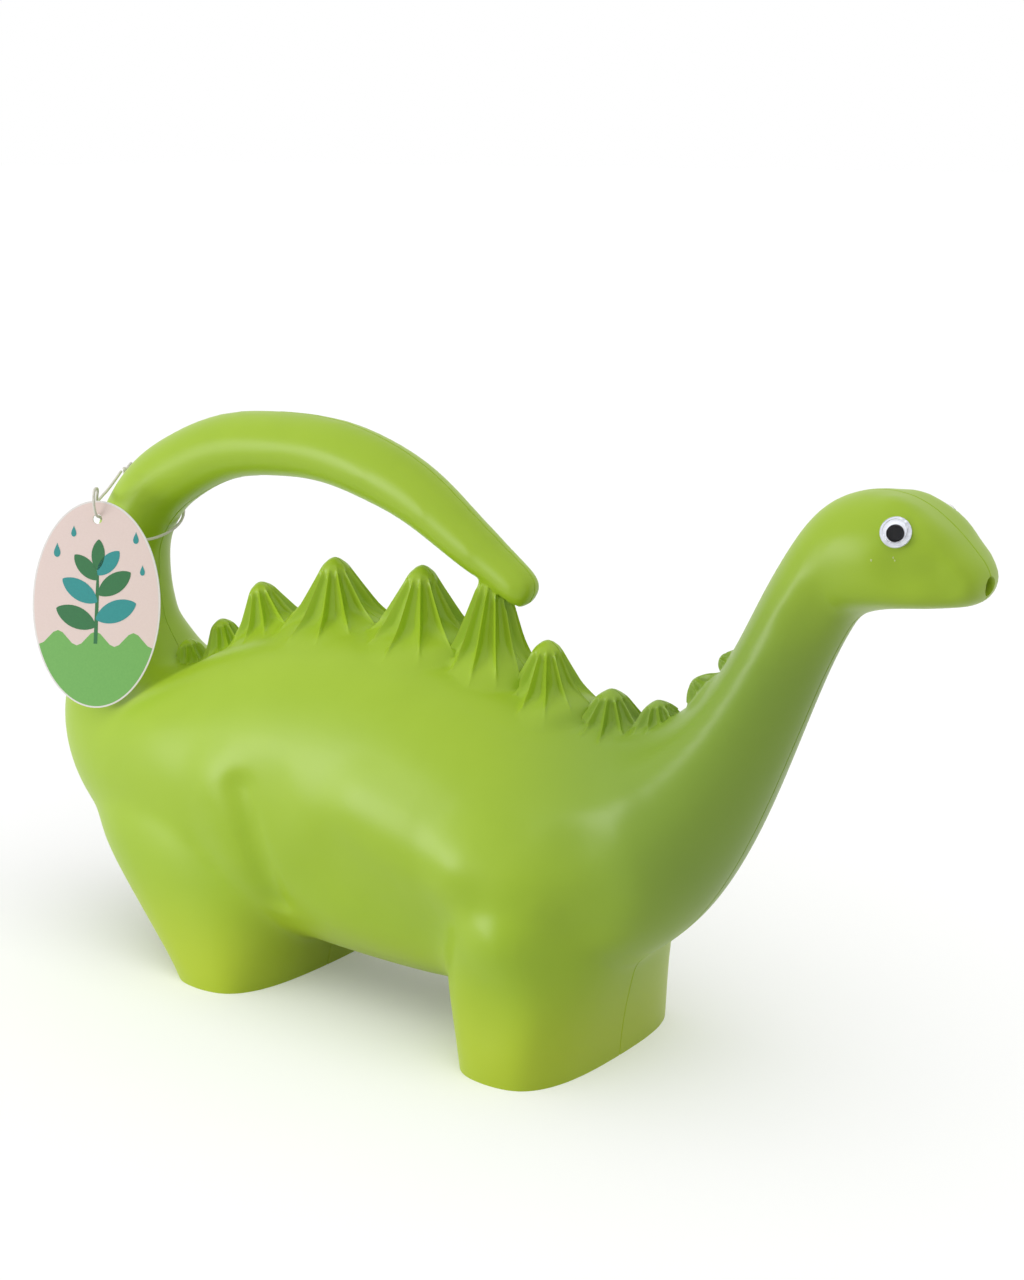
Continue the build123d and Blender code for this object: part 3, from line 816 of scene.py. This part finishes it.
# Vacuum-formed acetate: clear and shiny, it lets the lamps through, and so thin a sheet hardly bends
# the view, which the low index stands for
def clear_acetate():
    material, tree, shader = new_material("clear_formed_acetate")
    shader.inputs["Base Color"].default_value = linear("#ffffff")
    shader.inputs["Roughness"].default_value = 0.04
    shader.inputs["IOR"].default_value = 1.14
    shader.inputs["Transmission Weight"].default_value = 1.0
    path = add_node(tree, "ShaderNodeLightPath")
    open_way = add_node(tree, "ShaderNodeBsdfTransparent")
    mixed = add_node(tree, "ShaderNodeMixShader",
                     {0: path.outputs["Is Shadow Ray"], 1: shader.outputs["BSDF"],
                      2: open_way.outputs["BSDF"]})
    tree.links.new(mixed.outputs["Shader"], tree.nodes["Material Output"].inputs["Surface"])
    return material


# Dried hot glue: cloudy, a little yellow and shiny
def hot_glue():
    return mottled("dried_hot_glue", "#cfdd9a", "#bfd080", grain=1.0, roughness=(0.2, 0.35), relief=0.1)[0]


# Coated card: white, with a faint fibre grain and a soft sheen
CARD_GRAIN = 0.8


def coated_card():
    return mottled("white_coated_card", "#f3efec", "#e9e4e0", grain=CARD_GRAIN, roughness=(0.42, 0.55),
                   relief=0.03)[0]


# Printing ink on coated card: flat colour with the card's own faint grain
def ink(name, pale, dark):
    return mottled(f"{name}_printing_ink", pale, dark, grain=CARD_GRAIN, roughness=(0.36, 0.48),
                   relief=0.02)[0]


# Cotton string: white, dull and fuzzy, its twist drawn as slanting ridges, from one to the next in mm.
# At a scale of one the wave node's slanting bands repeat after WAVE_SPACING
STRING_TWIST = 1.9589
STRING_RIDGE = 0.2
WAVE_SPACING = 2 * math.pi / (10 * math.sqrt(3))


def cotton_string():
    material, tree, shader = mottled("white_cotton_string", "#efece4", "#d9d5ca", grain=0.5,
                                     roughness=(0.85, 0.95), relief=0.12)
    place = add_node(tree, "ShaderNodeTexCoord").outputs["Object"]
    twist = add_node(tree, "ShaderNodeTexWave", {"Vector": place},
                     {"Scale": WAVE_SPACING / (STRING_TWIST * MM), "Distortion": 1.5},
                     bands_direction="DIAGONAL")
    rough = shader.inputs["Normal"].links[0].from_socket
    ridges = add_node(tree, "ShaderNodeBump", {"Height": twist.outputs["Fac"], "Normal": rough},
                      {"Strength": 0.7, "Distance": STRING_RIDGE * MM})
    tree.links.new(ridges.outputs["Normal"], shader.inputs["Normal"])
    return material


def seen_ray(tree):
    """One for a ray that shows the studio itself, straight on or by way of gloss or glass."""
    path = add_node(tree, "ShaderNodeLightPath")
    by_gloss = add_node(tree, "ShaderNodeMath",
                        {0: path.outputs["Is Camera Ray"], 1: path.outputs["Is Glossy Ray"]},
                        operation="MAXIMUM")
    by_glass = add_node(tree, "ShaderNodeMath",
                        {0: by_gloss.outputs["Value"], 1: path.outputs["Is Transmission Ray"]},
                        operation="MAXIMUM")
    return by_glass.outputs["Value"]


# Paper floor: grey and dull in the light that it gives back, and white with soft shadows to the eye
def paper_floor():
    material, tree, shader = mottled("grey_paper_floor", "#bcbcbc", "#b8b8b8", grain=40.0,
                                     roughness=(0.9, 0.95), relief=0.02)
    shader.inputs["Specular IOR Level"].default_value = 0.0
    white = linear("#ffffff")
    paper = add_node(tree, "ShaderNodeBsdfDiffuse", inputs={"Color": white})
    glow = add_node(tree, "ShaderNodeEmission", inputs={"Color": white, "Strength": 1.0})
    pale = add_node(tree, "ShaderNodeMixShader", {1: paper.outputs["BSDF"], 2: glow.outputs["Emission"]},
                    {0: FLOOR_LIFT})
    shown = add_node(tree, "ShaderNodeMixShader", {0: seen_ray(tree), 1: shader.outputs["BSDF"],
                                                   2: pale.outputs["Shader"]})
    tree.links.new(shown.outputs["Shader"], tree.nodes["Material Output"].inputs["Surface"])
    return material


def finished(piece, body, slot, *materials):
    """Gives a piece its body and, unless it has them already, its materials. The slot is not used."""
    if materials:
        piece.data.materials.clear()
    for material in materials:
        piece.data.materials.append(material)
    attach(piece, body)
    return piece


def curve_piece(name, thickness, lines, closed=False):
    """Round strands along smooth lines, as one curve object."""
    curve = bpy.data.curves.new(name, "CURVE")
    curve.dimensions = "3D"
    curve.bevel_depth = thickness * MM / 2
    curve.bevel_resolution = 4
    curve.use_fill_caps = True
    for number, line in enumerate(lines):
        spline = curve.splines.new("NURBS")
        spline.points.add(len(line) - 1)
        for point, place in zip(spline.points, line):
            point.co = (*(Vector(place) * MM), 1.0)
        spline.order_u = 3
        spline.resolution_u = 12
        spline.use_cyclic_u = closed and number == 0
        spline.use_endpoint_u = not spline.use_cyclic_u
    piece = bpy.data.objects.new(name, curve)
    bpy.context.scene.collection.objects.link(piece)
    return piece


def string_knot():
    """A tight overhand knot with two short cut ends."""
    low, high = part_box("cord_knot")
    middle = (Vector(low) + Vector(high)) / 2 / MM
    loop = []
    for step in range(KNOT_POINTS):
        turn = 2 * math.pi * step / KNOT_POINTS
        loop.append(middle + KNOT_SCALE * Vector((-math.sin(3 * turn),
                                                  math.sin(turn) + 2 * math.sin(2 * turn),
                                                  math.cos(turn) - 2 * math.cos(2 * turn))))
    lines = [loop]
    for end in KNOT_ENDS:
        half_way = middle + Vector(end) / 2 + Vector((0, 0, KNOT_END_ARCH))
        lines.append([middle, half_way, middle + Vector(end)])
    piece = curve_piece("string_knot", CORD_DIAMETER, lines, closed=True)
    pick(piece)
    bpy.ops.object.convert(target="MESH")
    return bpy.context.object


def card_place():
    """From the card's own plane to the can's frame, with the card hanging at its hole."""
    joints = frame["record"]["behaviour"]["joints"]
    hinge = next(joint for joint in joints if joint["name"] == "tag_swing")
    facing = Vector(hinge["axis"]).normalized()
    level = Vector((0, 0, 1)).cross(facing).normalized()
    upward = facing.cross(level)
    middle = Vector(hinge["pos_m"]) - upward * CARD_HOLE_RISE * MM
    turned = Matrix((level, upward, facing)).transposed().to_4x4()
    return Matrix.Translation(middle) @ turned


def plate(name, outline, low, high):
    """A thin flat piece of this outline in the card's plane, between two heights."""
    place = card_place()
    rings = []
    for height in (low, high):
        rings.append([place @ (Vector((x, y, height)) * MM) for x, y in outline])
    return extruded(name, rings)


def oval(half_width, half_height, start=0.0, end=2 * math.pi, count=CARD_POINTS):
    return [(half_width * math.cos(start + (end - start) * step / count),
             half_height * math.sin(start + (end - start) * step / count)) for step in range(count)]


def ground_outline(half_width, half_height):
    """The lower part of the card below a rolling line."""
    edge = math.asin((GROUND_LEVEL - GROUND_SWELL) / half_height)
    reach = half_width * math.cos(edge)
    points = oval(half_width, half_height, math.pi - edge, 2 * math.pi + edge, GROUND_EDGE_POINTS)
    for step in range(GROUND_LINE_POINTS):
        x = reach * (1 - 2 * step / GROUND_LINE_POINTS)
        points.append((x, GROUND_LEVEL + GROUND_SWELL * math.cos(GROUND_WAVES * math.pi * x / reach)))
    return points


def leaf_outline(foot, tip, half_width):
    """A pointed oval from a leaf's foot to its tip."""
    foot, tip = Vector(foot), Vector(tip)
    across = Vector((foot.y - tip.y, tip.x - foot.x)).normalized()
    points = []
    for step in range(LEAF_POINTS):
        turn = 2 * math.pi * step / LEAF_POINTS
        along = (1 - math.cos(turn)) / 2
        aside = half_width * math.sin(turn) * abs(math.sin(turn)) ** LEAF_SHARPNESS
        points.append(tuple(foot.lerp(tip, along) - across * aside))
    return points


def drop_outline(middle, half_width):
    """A drop with its point up."""
    points = []
    for step in range(DROP_POINTS):
        turn = 2 * math.pi * step / DROP_POINTS
        taper = 1 - ((1 + math.sin(turn)) / 2) ** DROP_TAPER / DROP_BLUNTNESS
        points.append((middle[0] + half_width * math.cos(turn) * taper,
                       middle[1] + half_width * (DROP_HALF_HEIGHT * math.sin(turn) + DROP_LIFT)))
    return points


def card_tag(board, inks):
    """The oval card with its hole and a printed leaf sprig in a field under drops of water."""
    face = CARD_THICKNESS / 2
    inner = (CARD_HALF_WIDTH - PRINT_MARGIN, CARD_HALF_HEIGHT - PRINT_MARGIN)
    printed = [("sky", oval(*inner), 1, "pale_pink"), ("ground", ground_outline(*inner), 2, "meadow_green"),
               ("stem", SPRIG_STEM, 3, "leaf_green")]
    for foot, tip, half_width, colour in SPRIG_LEAVES:
        printed.append(("leaf", leaf_outline(foot, tip, half_width), 4, colour))
    for middle, half_width in PRINT_DROPS:
        printed.append(("drop", drop_outline(middle, half_width), 4, "teal"))
    pieces = [plate("card_tag", oval(CARD_HALF_WIDTH, CARD_HALF_HEIGHT), -face, face)]
    finishes = [board]
    for name, outline, layer, colour in printed:
        pieces.append(plate(name, outline, face - PRINT_BITE, face + layer * PRINT_LAYER))
        finishes.append(inks[colour])
    hole = [(x, y + CARD_HOLE_RISE)
            for x, y in oval(CARD_HOLE_RADIUS, CARD_HOLE_RADIUS, count=CARD_HOLE_POINTS)]
    for piece in pieces[:2]:
        combine(piece, plate("drill", hole, -CARD_DRILL_REACH, CARD_DRILL_REACH), "DIFFERENCE")
    for piece, finish in zip(pieces, finishes):
        piece.data.materials.clear()
        piece.data.materials.append(finish)
    return joined("card_tag", pieces)


def glue_specks(right_half):
    """Small flattened drops of glue on the skin beside the right eye."""
    specks = []
    for place, size in GLUE_SPECKS:
        _, spot, normal, _ = right_half.closest_point_on_mesh(Vector(place) * MM)
        deselect()
        bpy.ops.mesh.primitive_uv_sphere_add(segments=16, ring_count=10, radius=size * MM, location=spot,
                                             rotation=normal.to_track_quat("Z", "Y").to_euler())
        bpy.context.object.scale = GLUE_SPECK_FORM
        bpy.ops.object.transform_apply()
        bpy.ops.object.shade_smooth()
        specks.append(bpy.context.object)
    return joined("glue_specks", specks)


def lamp(name, kind, strength, way):
    """A lamp that shines this way."""
    light = bpy.data.lights.new(name, kind)
    light.energy = strength
    piece = bpy.data.objects.new(name, light)
    piece.rotation_euler = way.to_track_quat("-Z", "Y").to_euler()
    bpy.context.scene.collection.objects.link(piece)
    return piece


def stage():
    """A pale floor with its own lamp, a white surround, a broad glow from overhead and a soft box."""
    scene = bpy.context.scene
    scene.view_settings.view_transform = "Standard"
    deselect()
    bpy.ops.mesh.primitive_plane_add(size=FLOOR_SIDE * MM)
    floor = named("floor")
    floor.data.materials.append(paper_floor())
    world = bpy.data.worlds.new("studio")
    world.use_nodes = True
    tree = world.node_tree
    background = tree.nodes["Background"]
    strength = add_node(tree, "ShaderNodeMapRange", {"Value": seen_ray(tree)},
                        {"To Min": WORLD_LIGHT, "To Max": WORLD_WHITE})
    tree.links.new(strength.outputs["Result"], background.inputs["Strength"])
    background.inputs["Color"].default_value = linear("#ffffff")
    scene.world = world
    overhead = lamp("overhead_lamp", "SUN", OVERHEAD_STRENGTH, Vector(OVERHEAD_WAY))
    overhead.data.angle = math.radians(OVERHEAD_SPREAD)
    overhead.visible_glossy = False
    place = Vector(SOFT_BOX_PLACE) * MM
    soft_box = lamp("soft_box", "AREA", SOFT_BOX_POWER, Vector(SOFT_BOX_AIM) * MM - place)
    soft_box.location = place
    soft_box.data.size = SOFT_BOX_SIDE * MM
    soft_box.visible_camera = False
    floor_lamp = lamp("floor_lamp", "SUN", FLOOR_LAMP_STRENGTH, Vector(FLOOR_LAMP_WAY))
    floor_lamp.data.angle = math.radians(FLOOR_LAMP_SPREAD)
    for piece, lights_floor in ((soft_box, "EXCLUDE"), (floor_lamp, "INCLUDE")):
        group = bpy.data.collections.new(f"floor_for_{piece.name}")
        group.objects.link(floor)
        group.collection_objects[0].light_linking.link_state = lights_floor
        piece.light_linking.receiver_collection = group


def camera():
    azimuth = math.radians(CAMERA_AZIMUTH)
    pitch = math.radians(CAMERA_PITCH)
    level = math.cos(pitch)
    ahead = Vector((-math.sin(azimuth) * level, math.cos(azimuth) * level, -math.sin(pitch)))
    data = bpy.data.cameras.new("camera")
    data.lens = CAMERA_LENS
    data.clip_start = CAMERA_NEAREST * MM
    piece = bpy.data.objects.new("camera", data)
    bpy.context.scene.collection.objects.link(piece)
    piece.location = Vector(CAMERA_PLACE) * MM
    piece.rotation_euler = ahead.to_track_quat("-Z", "Y").to_euler()
    bpy.context.scene.camera = piece


green = moulded_polythene()
whole = shell(green)
halves = {}
for side, name in ((-1, "right"), (1, "left")):
    halves[name] = finished(half(whole, f"{name}_half_shell", side), "can", "green_plastic", green)
    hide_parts(f"{name}_shell")
bpy.data.objects.remove(whole)

glue = hot_glue()
finished(glue_specks(halves["right"]), "can", "dried_glue", glue)
eye_finishes = {"eye_back": white_styrene(), "pupil": black_styrene(), "eye_cover": clear_acetate(),
                "eye_glue": glue}
for side in halves:
    for piece, material in eye_finishes.items():
        node = frame["nodes"][f"{side}_{piece}"]
        node.data.materials.clear()
        node.data.materials.append(material)

cotton = cotton_string()
knot = finished(string_knot(), "can", "white_string", cotton)
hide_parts("cord_knot")
board = coated_card()
ink_colours = {"pale_pink": ("#f0dcd6", "#ead4cd"), "meadow_green": ("#7dbb62", "#6fb058"),
               "leaf_green": ("#2f7a45", "#2a6b3e"), "teal": ("#2f9c9a", "#288c8c")}
inks = {name: ink(name, pale, dark) for name, (pale, dark) in ink_colours.items()}
card = finished(card_tag(board, inks), "tag", "printed_card")
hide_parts("swing_tag")
string = finished(curve_piece("tag_string", CORD_DIAMETER, [CORD_ROUTE]), "can", "white_string", cotton)
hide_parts("tag_cord")

stage()
camera()
